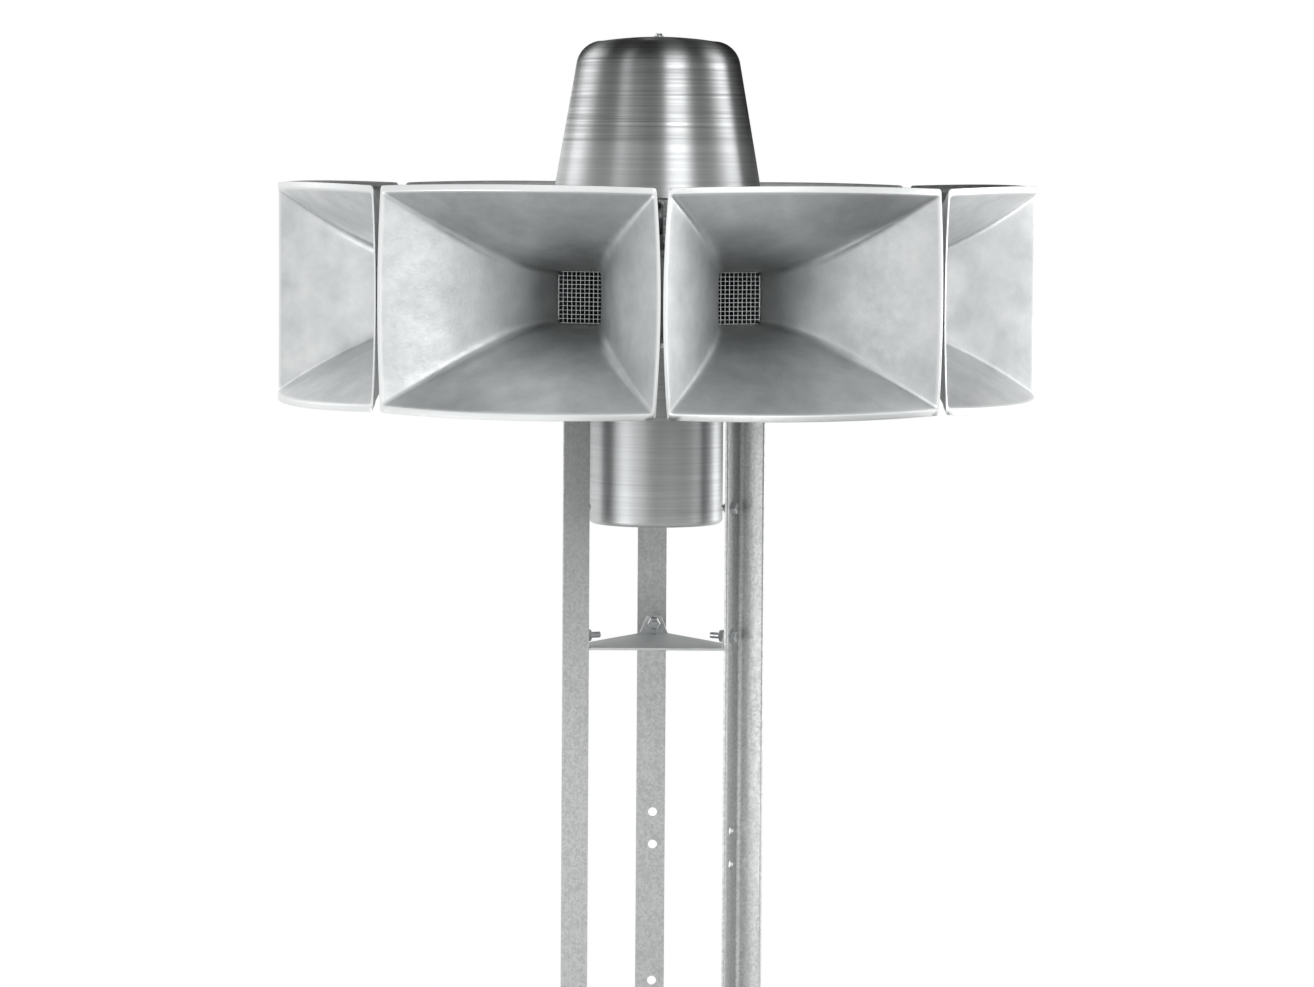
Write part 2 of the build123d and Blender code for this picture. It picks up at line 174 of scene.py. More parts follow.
def zinc_plate():
    """Electroplated zinc: finer and brighter than the dip coat, clouded by handling."""
    material, tree, shader, place = plain_finish("zinc_plated_steel", 0.45)
    cloud = add_node(tree, "ShaderNodeTexNoise", {"Vector": place, "Scale": 1 / zinc_cloud, "Detail": 5.0})
    fine = add_node(tree, "ShaderNodeTexNoise", {"Vector": place, "Scale": 1 / zinc_grain, "Detail": 2.0})
    colour = add_node(tree, "ShaderNodeMix", {
        0: cloud, 6: linear("#c6c9c9"), 7: linear("#e4e6e6"),
    }, data_type="RGBA")
    gloss = add_node(tree, "ShaderNodeMapRange", {0: cloud, 1: 0.3, 2: 0.7, 3: 0.42, 4: 0.5})
    bump = add_node(tree, "ShaderNodeBump", {"Height": fine, "Strength": 0.1, "Distance": 0.0003})
    fill(tree, shader, {"Base Color": colour.outputs[2], "Roughness": gloss, "Normal": bump})
    return material


zinc = zinc_plate()
for node in ["leg_spreader"] + ["leg_bracket_" + name for name in leg_names]:
    eased(node, zinc, plate_edge_round)

# Casing: an octagonal cast ring between two turned plates, in a patchy dark grey.
# Behind its ports the rotor's lands stand a few millimetres off, near-black: painted shade for the dark
# inside the casing.
casing_tone_patch = 0.030
# the casting's own grain is too fine to show, so it is drawn coarser
casing_grain = 0.0016
rotor_shade_patch = 0.025


def casing_aluminium():
    """Cast and turned aluminium in a patchy dark grey."""
    material, tree, shader, place = plain_finish("dark_grey_casing_aluminium", 0.55)
    tone_patch = add_node(tree, "ShaderNodeTexNoise", {"Vector": place, "Scale": 1 / casing_tone_patch, "Detail": 6.0})
    grain = add_node(tree, "ShaderNodeTexNoise", {"Vector": place, "Scale": 1 / casing_grain, "Detail": 2.0})
    colour = add_node(tree, "ShaderNodeMix", {
        0: tone_patch, 6: linear("#5a5c5a"), 7: linear("#9a9c9a"),
    }, data_type="RGBA")
    bump = add_node(tree, "ShaderNodeBump", {"Height": grain, "Strength": 0.2, "Distance": 0.0005})
    fill(tree, shader, {"Base Color": colour.outputs[2], "Normal": bump})
    return material


def painted_shade_rotor():
    """Cast aluminium painted near-black, as shade for the dark inside behind the throat screens."""
    material, tree, shader, place = plain_finish("painted_shade_rotor_casting", 0.6, metallic=0.0)
    shade_mottle = add_node(tree, "ShaderNodeTexNoise", {"Vector": place, "Scale": 1 / rotor_shade_patch, "Detail": 4.0})
    # painted shade: the rotor's colour is near-black, for the dark inside the casing
    colour = add_node(tree, "ShaderNodeMix", {
        0: shade_mottle, 6: linear("#0b0b0b"), 7: linear("#1d1d1c"),
    }, data_type="RGBA")
    fill(tree, shader, {"Base Color": colour.outputs[2]})
    return material


def finish_node(node, material):
    """Gives a carried-over solid its finish."""
    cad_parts[node].data.materials.clear()
    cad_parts[node].data.materials.append(material)


casing = casing_aluminium()
for node in ("stator_ring", "top_plate", "bottom_plate"):
    finish_node(node, casing)
finish_node("chopper_rotor", painted_shade_rotor())

# Horns: eight sand castings in aluminium, each a straight neck with a bolting flange at the casing,
# flaring from a rectangular throat to a wide mouth with a rounded lip; peened to an even satin.
horn_count = 8
horn_step = math.tau / horn_count
horn_centre = sum((corner.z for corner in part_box("stator_ring")), 0.0) / 2
mouth_radius = 0.572
mouth_half_width = 0.2035
mouth_half_height = 0.152
mouth_side_bow = 0.0106
crown_setback = 0.075
crown_rise = 0.0036
throat_radius = 0.299
throat_half_width = 0.0347
throat_half_height = 0.0383
height_bend_share = 0.41
width_bend_share = 0.588
width_bend_rise_share = 0.2235
horn_wall = 0.006
lip_height = 0.010
lip_depth = 0.010
lip_round = 0.0016
lip_run_out = 0.004
neck_blend = 0.050
throat_corner = 0.007
flare_corner = 0.016
mouth_corner = 0.006
outer_corner = 0.006
flange_radius = 0.205
flange_half_width = 0.059
flange_half_height = 0.056
flange_thickness = 0.010
flange_edge = 0.001
cast_cloud = 0.055
# the moulding sand's grains are well under a millimetre, so their marks are drawn coarser, to show
sand_grain = 0.0036
scuff_size = 0.011
flare_samples = 240
flare_run_out = 0.08
flare_corner_share = 0.45
neck_rings = 4
flare_rings = 40
lip_rings = 11
run_out_rings = 4
# where a ring's side meets its crown is found in rounds of tries, from a first angle in radians
first_side_angle = 0.2
side_rounds = 24
corner_rounds = 6


def flare(start, bend, end):
    """A quadratic flare sampled from its start to its end, then carried on straight."""
    t = np.linspace(0, 1, flare_samples)[:, None]
    start, bend, end = map(np.array, (start, bend, end))
    curve = (1 - t) ** 2 * start + 2 * t * (1 - t) * bend + t ** 2 * end
    ahead = end + (end - bend) / np.linalg.norm(end - bend) * flare_run_out
    return np.vstack([curve, ahead]).T


bowed_half_width = mouth_half_width + mouth_side_bow
mouth_reach = math.sqrt(mouth_radius ** 2 - bowed_half_width ** 2)
bow_radius = mouth_half_height ** 2 / (2 * mouth_side_bow)
height_bend_radius = throat_radius + height_bend_share * (mouth_radius - throat_radius)
width_bend_radius = throat_radius + width_bend_share * (mouth_reach - throat_radius)
width_bend_half_width = throat_half_width + width_bend_rise_share * (bowed_half_width - throat_half_width)
crown_reach, crown_height = flare(
    (throat_radius, throat_half_height),
    (height_bend_radius, throat_half_height),
    (mouth_radius, mouth_half_height + crown_rise),
)
side_reach, side_width = flare(
    (throat_radius, throat_half_width),
    (width_bend_radius, width_bend_half_width),
    (mouth_reach, bowed_half_width),
)
top_steps = 16
corner_steps = 5
side_steps = 12


def whole_ring(quarter):
    """Mirrors a quarter loop, from the middle of the top to the middle of a side, into a closed loop."""
    u, v, z = np.array(quarter).T
    first = np.array([u, v, z])
    second = np.array([u, v, -z])[:, ::-1][:, 1:]
    third = np.array([u, -v, -z])[:, 1:]
    fourth = np.array([u, -v, z])[:, ::-1][:, 1:-1]
    return np.hstack([first, second, third, fourth]).T


def horn_ring(radius, crown_wall, side_wall, corner):
    """One loop round the horn at a distance from the siren's axis, its walls grown and corners rounded."""
    bend = min(max((radius - throat_radius) / neck_blend, 0), 1)
    bend = bend * bend * (3 - 2 * bend)

    def place(angle, height):
        return radius * (1 - bend * (1 - math.cos(angle))), radius * math.sin(angle), height

    def crown_at(angle):
        u, v, _ = place(angle, 0)
        reach = math.hypot(u + crown_setback, v) - crown_setback
        return np.interp(reach, crown_reach, crown_height) + crown_wall

    def side_at(height):
        angle = first_side_angle
        for _ in range(side_rounds):
            width = np.interp(place(angle, 0)[0], side_reach, side_width) + side_wall
            v = math.sqrt((bow_radius + width) ** 2 - height ** 2) - bow_radius
            angle = math.asin(v / radius)
        return angle

    height = crown_at(0)
    for _ in range(corner_rounds):
        edge = side_at(height)
        height = crown_at(edge)
    before = edge - corner / radius
    after = side_at(height - corner)
    quarter = [place(a, crown_at(a)) for a in np.linspace(0, before, top_steps)]
    for t in np.linspace(0, 1, corner_steps + 2)[1:-1]:
        angle = (1 - t) ** 2 * before + 2 * t * (1 - t) * edge + t ** 2 * after
        level = (1 - t) ** 2 * crown_at(before) + 2 * t * (1 - t) * height + t ** 2 * (height - corner)
        quarter.append(place(angle, level))
    quarter += [place(side_at(z), z) for z in np.linspace(height - corner, 0, side_steps)]
    return whole_ring(quarter)


def flange_ring(reach, half_width, half_height, corner):
    """One loop round the flat bolting flange."""
    quarter = [(reach, v, half_height) for v in np.linspace(0, half_width - corner, top_steps)]
    for a in np.linspace(0, math.pi / 2, corner_steps + 2)[1:-1]:
        across = half_width - corner * (1 - math.sin(a))
        quarter.append((reach, across, half_height - corner * (1 - math.cos(a))))
    quarter += [(reach, half_width, z) for z in np.linspace(half_height - corner, 0, side_steps)]
    return whole_ring(quarter)


def horn_rings():
    """All loops of one horn: out along the inside, over the lip, back along the outside to the flange."""
    neck = np.linspace(flange_radius, throat_radius, neck_rings)
    rings = [horn_ring(radius, 0, 0, throat_corner) for radius in neck]
    flare_steps = np.linspace(0, 1, flare_rings)[1:]
    flare_end = mouth_radius - lip_round
    for s in flare_steps:
        corner = np.interp(s, (0, flare_corner_share, 1), (throat_corner, flare_corner, mouth_corner))
        rings.append(horn_ring(throat_radius + (flare_end - throat_radius) * s, 0, 0, corner))
    for a in np.linspace(0, math.pi, lip_rings)[1:]:
        grow = lip_round * (1 - math.cos(a))
        far = a > math.pi / 2 + 1e-6
        crown = grow + (lip_height - 2 * lip_round if far else 0)
        side = grow + (horn_wall - 2 * lip_round if far else 0)
        rings.append(horn_ring(flare_end + lip_round * math.sin(a), crown, side, outer_corner))
    for drop in np.linspace(0, 1, run_out_rings):
        ease = drop * drop * (3 - 2 * drop)
        crown = lip_height + (horn_wall - lip_height) * ease
        back = mouth_radius - lip_depth - lip_run_out * drop
        rings.append(horn_ring(back, crown, horn_wall, outer_corner))
    flange_top = flange_radius + flange_thickness
    outside = [back + (throat_radius - back) * s for s in flare_steps]
    outside += list(np.linspace(throat_radius, flange_top, neck_rings)[1:])
    rings += [horn_ring(radius, horn_wall, horn_wall, outer_corner) for radius in outside]
    inset = flange_half_width - flange_edge, flange_half_height - flange_edge
    rings.append(flange_ring(flange_top, *inset, outer_corner))
    rings.append(flange_ring(flange_top - flange_edge, flange_half_width, flange_half_height, outer_corner))
    rings.append(flange_ring(flange_radius, flange_half_width, flange_half_height, outer_corner))
    return rings


def skin(name, rings, material, sharp_degrees):
    """A mesh piece skinned over loops of equal length, from the last on to the first again."""
    count = len(rings[0])
    verts = [tuple(point) for ring in rings for point in ring]
    faces = []
    for i in range(len(rings)):
        for j in range(count):
            a, b = i * count, (i + 1) % len(rings) * count
            faces.append((a + j, a + (j + 1) % count, b + (j + 1) % count, b + j))
    mesh = bpy.data.meshes.new(name)
    mesh.from_pydata(verts, [], faces)
    return finished_piece(name, mesh, material, sharp_degrees)


def cast_aluminium():
    """Peened sand casting: a cloudy, grainy satin, with painted shade darkening it towards the throat and a
    painted highlight lightening the lip.
    """
    material, tree, shader, place = plain_finish("cast_aluminium", 0.4)
    cloud = add_node(tree, "ShaderNodeTexNoise", {
        "Vector": place, "Scale": 1 / cast_cloud, "Detail": 7.0, "Roughness": 0.62,
    })
    sand = add_node(tree, "ShaderNodeTexNoise", {"Vector": place, "Scale": 1 / sand_grain, "Detail": 3.0})
    scuff = add_node(tree, "ShaderNodeTexNoise", {"Vector": place, "Scale": 1 / scuff_size, "Detail": 5.0})
    patchy = add_node(tree, "ShaderNodeMapRange", {0: cloud, 1: 0.32, 2: 0.68})
    colour = add_node(tree, "ShaderNodeMix", {
        0: patchy, 6: linear("#babdbe"), 7: linear("#d2d4d4"),
    }, data_type="RGBA")
    apart = add_node(tree, "ShaderNodeSeparateXYZ", {0: place})
    level = add_node(tree, "ShaderNodeCombineXYZ", {"X": apart.outputs["X"], "Y": apart.outputs["Y"]})
    reach = add_node(tree, "ShaderNodeVectorMath", {0: level}, operation="LENGTH")
    # painted shade: the colour darkens towards the throat, deep inside the horn
    throat_shade = add_node(tree, "ShaderNodeMapRange", {
        0: reach.outputs["Value"], 1: throat_radius, 2: height_bend_radius, 3: 0.3, 4: 0.0,
    })
    throat_shaded = add_node(tree, "ShaderNodeMix", {
        0: throat_shade, 6: colour.outputs[2], 7: linear("#5f6060"),
    }, data_type="RGBA")
    # painted highlight: the colour lightens along the rounded lip
    lip_highlight = add_node(tree, "ShaderNodeMapRange", {
        0: reach.outputs["Value"], 1: mouth_radius - lip_height / 2, 2: mouth_radius - lip_round,
    })
    lip_highlighted = add_node(tree, "ShaderNodeMix", {
        0: lip_highlight, 6: throat_shaded.outputs[2], 7: linear("#dcdede"),
    }, data_type="RGBA")
    gloss = add_node(tree, "ShaderNodeMapRange", {0: scuff, 1: 0.3, 2: 0.7, 3: 0.37, 4: 0.46})
    bump = add_node(tree, "ShaderNodeBump", {"Height": sand, "Strength": 0.25, "Distance": 0.0007})
    fill(tree, shader, {"Base Color": lip_highlighted.outputs[2], "Roughness": gloss, "Normal": bump})
    return material


cast = cast_aluminium()
one_horn = horn_rings()
horn_angles = [horn_step * (index + 0.5) for index in range(horn_count)]
for index, angle in enumerate(horn_angles):
    spin = np.array(Matrix.Rotation(angle, 3, "Z"))
    placed = [ring @ spin.T + (0, 0, horn_centre) for ring in one_horn]
    horn = skin(f"horn_casting_{index + 1}", placed, cast, sharp_degrees=38)
    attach(horn, "tower")
    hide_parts(f"horn_{index + 1}")

# Throat screens: square-woven galvanised wire cloth, about a quarter-inch mesh, tucked into each throat.
# Every wire goes over and under its neighbours, and the zinc fuses them where they cross.
cloth_columns = 11
cloth_rows = 13
cloth_pitch_across = 0.00684
cloth_pitch_up = 0.00622
cloth_wire = 0.00044
cloth_weave = 0.0003
wire_lump = 0.004


def sized_tree(name, **inputs):
    """A new geometry tree and its named inputs, which are given by their kind of socket."""
    tree = bpy.data.node_groups.new(name, "GeometryNodeTree")
    tree.interface.new_socket("Geometry", in_out="OUTPUT", socket_type="NodeSocketGeometry")
    for kind, labels in inputs.items():
        for label in labels:
            tree.interface.new_socket(label, in_out="INPUT", socket_type=f"NodeSocket{kind}")
    return tree, add_node(tree, "NodeGroupInput").outputs


def wire_cloth_tree():
    """Square-woven cloth laid flat, as nodes: bars both ways, bent over and under at each crossing."""
    counts = ("Columns", "Rows", "Bends")
    lengths = ("Pitch Across", "Pitch Up", "Wire Radius", "Weave")
    tree, size = sized_tree("wire_cloth", Int=counts, Float=lengths, Material=("Material",))
    round_bar = add_node(tree, "GeometryNodeCurvePrimitiveCircle", {
        "Resolution": 6, "Radius": size["Wire Radius"],
    })
    place = add_node(tree, "GeometryNodeInputPosition")
    axis = add_node(tree, "ShaderNodeSeparateXYZ", {0: place})
    alternate = []
    for along, count, pitch in (("X", "Columns", "Pitch Across"), ("Y", "Rows", "Pitch Up")):
        cell = add_node(tree, "ShaderNodeMath", {
            0: axis.outputs[along], 1: size[pitch],
        }, operation="DIVIDE")
        middle = add_node(tree, "ShaderNodeMath", {
            0: size[count], 1: 0.5, 2: -0.5,
        }, operation="MULTIPLY_ADD")
        nth = add_node(tree, "ShaderNodeMath", {0: cell, 1: middle}, operation="ADD")
        angle = add_node(tree, "ShaderNodeMath", {0: nth, 1: math.pi}, operation="MULTIPLY")
        alternate.append(add_node(tree, "ShaderNodeMath", {0: angle}, operation="COSINE"))
    over = add_node(tree, "ShaderNodeMath", {0: alternate[0], 1: alternate[1]}, operation="MULTIPLY")
    wires = []
    ways = (
        ("Columns", "Pitch Across", "Rows", "Pitch Up", 0),
        ("Rows", "Pitch Up", "Columns", "Pitch Across", 1),
    )
    for count, pitch, cross_count, cross_pitch, way in ways:
        cells = add_node(tree, "ShaderNodeMath", {0: size[cross_count], 1: 1.0}, operation="SUBTRACT")
        length = add_node(tree, "ShaderNodeMath", {0: cells, 1: size[cross_pitch]}, operation="MULTIPLY")
        half = add_node(tree, "ShaderNodeMath", {0: length, 1: 0.5}, operation="MULTIPLY")
        minus = add_node(tree, "ShaderNodeMath", {0: half, 1: -1.0}, operation="MULTIPLY")
        low = add_node(tree, "ShaderNodeCombineXYZ", {1 - way: minus})
        high = add_node(tree, "ShaderNodeCombineXYZ", {1 - way: half})
        bar = add_node(tree, "GeometryNodeCurvePrimitiveLine", {"Start": low, "End": high})
        knots = add_node(tree, "ShaderNodeMath", {
            0: cells, 1: size["Bends"], 2: 1.0,
        }, operation="MULTIPLY_ADD")
        bent = add_node(tree, "GeometryNodeResampleCurve", {"Curve": bar, "Count": knots})
        spread = add_node(tree, "ShaderNodeMath", {
            0: size[count], 1: -0.5, 2: 0.5,
        }, operation="MULTIPLY_ADD")
        first = add_node(tree, "ShaderNodeMath", {0: spread, 1: size[pitch]}, operation="MULTIPLY")
        start = add_node(tree, "ShaderNodeCombineXYZ", {way: first})
        step = add_node(tree, "ShaderNodeCombineXYZ", {way: size[pitch]})
        row = add_node(tree, "GeometryNodeMeshLine", {
            "Count": size[count], "Start Location": start, "Offset": step,
        })
        set_out = add_node(tree, "GeometryNodeInstanceOnPoints", {
            "Points": row, "Instance": bent,
        })
        loose = add_node(tree, "GeometryNodeRealizeInstances", {0: set_out})
        rise = add_node(tree, "ShaderNodeMath", {0: over, 1: size["Weave"]}, operation="MULTIPLY")
        side = add_node(tree, "ShaderNodeMath", {0: rise, 1: 1.0 - 2.0 * way}, operation="MULTIPLY")
        lift = add_node(tree, "ShaderNodeCombineXYZ", {"Z": side})
        woven = add_node(tree, "GeometryNodeSetPosition", {"Geometry": loose, "Offset": lift})
        solid = add_node(tree, "GeometryNodeCurveToMesh", {
            "Curve": woven, "Profile Curve": round_bar, "Fill Caps": True,
        })
        wires.append(solid)
    joined = add_node(tree, "GeometryNodeJoinGeometry", {0: tuple(wires)})
    whole = add_node(tree, "GeometryNodeRealizeInstances", {0: joined})
    dressed = add_node(tree, "GeometryNodeSetMaterial", {"Geometry": whole, "Material": size["Material"]})
    add_node(tree, "NodeGroupOutput", {0: dressed})
    return tree


def grown_mesh(name, tree, sizes, seed=None):
    """Runs a node tree on a seed mesh and keeps what it makes as a plain mesh."""
    holder = linked(name, seed or bpy.data.meshes.new(name))
    modifier = holder.modifiers.new("tree", "NODES")
    modifier.node_group = tree
    for item in tree.interface.items_tree:
        if item.in_out == "INPUT" and item.name in sizes:
            modifier[item.identifier] = sizes[item.name]
    mesh = bpy.data.meshes.new_from_object(holder.evaluated_get(bpy.context.evaluated_depsgraph_get()))
    bpy.data.objects.remove(holder)
    return mesh


def galvanised_wire():
    """Dip-coated wire: pale grey, a little lumpy."""
    material, tree, shader, place = plain_finish("galvanised_wire", 0.42)
    lump = add_node(tree, "ShaderNodeTexNoise", {"Vector": place, "Scale": 1 / wire_lump, "Detail": 3.0})
    colour = add_node(tree, "ShaderNodeMix", {
        0: lump, 6: linear("#d6d8d8"), 7: linear("#f0f1f1"),
    }, data_type="RGBA")
    fill(tree, shader, {"Base Color": colour.outputs[2]})
    return material


wire = galvanised_wire()
cloth_tree = wire_cloth_tree()
throat_sizes = {
    "Columns": cloth_columns, "Rows": cloth_rows, "Bends": 4,
    "Pitch Across": cloth_pitch_across, "Pitch Up": cloth_pitch_up,
    "Wire Radius": cloth_wire, "Weave": cloth_weave, "Material": wire,
}
upright = Matrix(((0, 0, 1, throat_radius), (1, 0, 0, 0), (0, 1, 0, 0), (0, 0, 0, 1)))
for index, angle in enumerate(horn_angles):
    mesh = grown_mesh(f"throat_cloth_{index + 1}", cloth_tree, throat_sizes)
    mesh.transform(Matrix.Translation((0, 0, horn_centre)) @ Matrix.Rotation(angle, 4, "Z") @ upright)
    cloth = finished_piece(f"throat_cloth_{index + 1}", mesh, None, sharp_degrees=60)
    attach(cloth, "tower")
    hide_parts(f"throat_screen_{index + 1}")

# Motor cover: a cup spun from aluminium sheet over a wooden former, its open top against the bottom plate.
# The spinning roller leaves fine rings, which draw every light out into an upright streak.
cover_low, cover_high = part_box("motor_cover")
cover_radius = (cover_high.x - cover_low.x) / 2
cover_round = 0.008
sheet = 0.002
pole_hole = 0.0005
lathe_steps = 160
cover_wall_steps = 24
bend_steps = 9
cover_floor_steps = 8
calm_rings = 0.35
calm_blend = 0.001
ring_depth = 0.16
quarter_turn = 0.25
# each noise of the rings: how often it changes round the sheet, how far apart up the sheet, and its detail
# the roller's own rings are finer than these, which are as coarse as they need to be to show
ring_noises = ((3.0, 0.0038, 2.0), (1.0, 0.0110, 2.0), (0.6, 0.034, 1.0))


def arc(centre, radius, start, end, steps):
    """Points of a circular arc in a turning profile, angles in degrees from the outward radius."""
    angles = np.radians(np.linspace(start, end, steps))
    return [(centre[0] + radius * math.cos(a), centre[1] + radius * math.sin(a)) for a in angles]


def turned(name, profile, material, sharp_degrees):
    """A piece turned from a closed profile of radius and height, with its unrolled sheet as its UV map."""
    angles = np.linspace(0, math.tau, lathe_steps, endpoint=False)
    rings = [[(r * math.cos(a), r * math.sin(a), z) for a in angles] for r, z in profile]
    piece = skin(name, rings, material, sharp_degrees)
    travel = np.array(profile)
    length = np.concatenate([[0], np.cumsum(np.linalg.norm(np.diff(travel, axis=0), axis=1))])
    layer = piece.data.uv_layers.new(name="sheet")
    for polygon in piece.data.polygons:
        for loop in polygon.loop_indices:
            x, y, z = piece.data.vertices[piece.data.loops[loop].vertex_index].co
            near = np.argmin((travel[:, 0] - math.hypot(x, y)) ** 2 + (travel[:, 1] - z) ** 2)
            layer.data[loop].uv = (math.atan2(y, x) / math.tau, length[near])
    return piece


def spun_aluminium(name, calm_height, dull, bright, stretch):
    """Spun sheet: bright, with roller rings round it, crowded in some places and calm below a height."""
    material, tree, shader, place = plain_finish(name, dull)
    fill(tree, shader, {"Anisotropic": stretch, "Anisotropic Rotation": quarter_turn})
    unrolled = add_node(tree, "ShaderNodeUVMap", uv_map="sheet")
    noises = []
    for around_share, pitch, detail in ring_noises:
        stretched = add_node(tree, "ShaderNodeMapping", {
            "Vector": unrolled, "Scale": (around_share, 1 / pitch, 1.0),
        })
        noise = add_node(tree, "ShaderNodeTexNoise", {"Vector": stretched, "Scale": 1.0, "Detail": detail})
        noises.append(noise)
    fine, broad, crowd = noises
    height = add_node(tree, "ShaderNodeSeparateXYZ", {0: place})
    above = add_node(tree, "ShaderNodeMapRange", {
        0: height.outputs["Z"], 1: calm_height - calm_blend, 2: calm_height + calm_blend,
        3: calm_rings, 4: 1.0,
    })
    busy = add_node(tree, "ShaderNodeMapRange", {0: crowd, 1: 0.35, 2: 0.62, 3: 0.5, 4: 1.0})
    depth = add_node(tree, "ShaderNodeMath", {0: busy, 1: above}, operation="MULTIPLY")
    both = add_node(tree, "ShaderNodeMix", {0: 0.25, 2: fine, 3: broad})
    centred = add_node(tree, "ShaderNodeMath", {0: both, 1: 0.5}, operation="SUBTRACT")
    rings = add_node(tree, "ShaderNodeMath", {0: centred, 1: depth}, operation="MULTIPLY")
    blend = add_node(tree, "ShaderNodeMapRange", {0: rings, 1: -ring_depth, 2: ring_depth})
    colour = add_node(tree, "ShaderNodeMix", {
        0: blend, 6: linear("#a6a8a9"), 7: linear("#e6e8e8"),
    }, data_type="RGBA")
    tone = add_node(tree, "ShaderNodeMapRange", {0: above, 1: calm_rings, 2: 1.0, 3: 1.0, 4: 0.84})
    toned = add_node(tree, "ShaderNodeVectorMath", {0: colour.outputs[2], 1: tone}, operation="MULTIPLY")
    gloss = add_node(tree, "ShaderNodeMapRange", {
        0: rings, 1: -ring_depth, 2: ring_depth, 3: dull, 4: bright,
    })
    bump = add_node(tree, "ShaderNodeBump", {"Height": rings, "Strength": 0.3, "Distance": 0.0006})
    around = add_node(tree, "ShaderNodeTangent", direction_type="RADIAL", axis="Z")
    fill(tree, shader, {"Base Color": toned, "Roughness": gloss, "Normal": bump, "Tangent": around})
    return material


bend_place = (cover_radius - cover_round, cover_low.z + cover_round)
outside = [(cover_radius, cover_high.z)]
outside += [(cover_radius, z) for z in np.linspace(cover_high.z, bend_place[1], cover_wall_steps)[1:-1]]
outside += arc(bend_place, cover_round, 0, -90, bend_steps)
outside += [(r, cover_low.z) for r in np.linspace(bend_place[0], pole_hole, cover_floor_steps)[1:]]
inside = [(pole_hole, cover_low.z + sheet), (bend_place[0], cover_low.z + sheet)]
inside += [(cover_radius - sheet, bend_place[1]), (cover_radius - sheet, cover_high.z)]
cover_metal = spun_aluminium("spun_aluminium", cover_high.z, dull=0.52, bright=0.44, stretch=0.6)
cover = turned("motor_cover_spinning", outside + inside, cover_metal, sharp_degrees=40)
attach(cover, "tower")
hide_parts("motor_cover")

# Hood strap and lifting eyes: a bent flat bar that carries the hood by one stud, and two forged eyes
# screwed into the top plate for the crane. The strap is zinc plated, the eyes are a darker steel.
bolt_wear = 0.006


def plated_bolt(name, dark, pale):
    """Plated bolt steel: greyer than the plates that it holds, worn in small patches."""
    material, tree, shader, place = plain_finish(name, 0.28)
    wear = add_node(tree, "ShaderNodeTexNoise", {"Vector": place, "Scale": 1 / bolt_wear, "Detail": 4.0})
    colour = add_node(tree, "ShaderNodeMix", {
        0: wear, 6: linear(dark), 7: linear(pale),
    }, data_type="RGBA")
    fill(tree, shader, {"Base Color": colour.outputs[2]})
    return material


finish_node("hood_strap", zinc)
eye_steel = plated_bolt("forged_eye_steel", "#3e4041", "#77797a")
for node in ("lifting_eye_front", "lifting_eye_rear"):
    finish_node(node, eye_steel)

# Intake guard: the same galvanised wire cloth as in the throats, rolled into a drum on the top plate.
# It closes the air gap under the hood, and its two ends meet at the left.
guard_low, guard_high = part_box("intake_guard")
guard_cloth_depth = 0.0024
guard_radius = (guard_high.x - guard_low.x - guard_cloth_depth) / 2
guard_columns = 148
guard_rows = 14
guard_sizes = {
    "Columns": guard_columns + 1, "Rows": guard_rows, "Bends": 2,
    "Pitch Across": math.tau * guard_radius / guard_columns,
    "Pitch Up": (guard_high.z - guard_low.z - 2 * cloth_wire) / (guard_rows - 1),
    "Wire Radius": cloth_wire, "Weave": cloth_weave, "Material": wire,
}
guard_mesh = grown_mesh("intake_guard_cloth", cloth_tree, guard_sizes)
for vertex in guard_mesh.vertices:
    across, up, out = vertex.co
    turn = across / guard_radius
    vertex.co = (
        (guard_radius + out) * math.cos(turn),
        (guard_radius + out) * math.sin(turn),
        (guard_low.z + guard_high.z) / 2 + up,
    )
guard = finished_piece("intake_guard_cloth", guard_mesh, None, sharp_degrees=60)
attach(guard, "tower")
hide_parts("intake_guard")

# Rain hood: a deep cone spun from aluminium sheet, with a rounded shoulder, a slightly domed crown
# and a hem rolled round its lower edge; one stud holds it at the crown.
hood_low, hood_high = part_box("rain_hood")
hood_bottom_radius = (hood_high.x - hood_low.x) / 2
hood_shoulder_radius = 0.1188
hood_crown_rise = 0.013
hood_shoulder_round = 0.040
hem_radius = 0.003
hem_stand_out = 0.0004
stud_hole = 0.0037
trim_height = 0.085
hood_wall_steps = 40
shoulder_steps = 12
crown_steps = 14
hem_steps = 12
hem_angles = (180, 340)


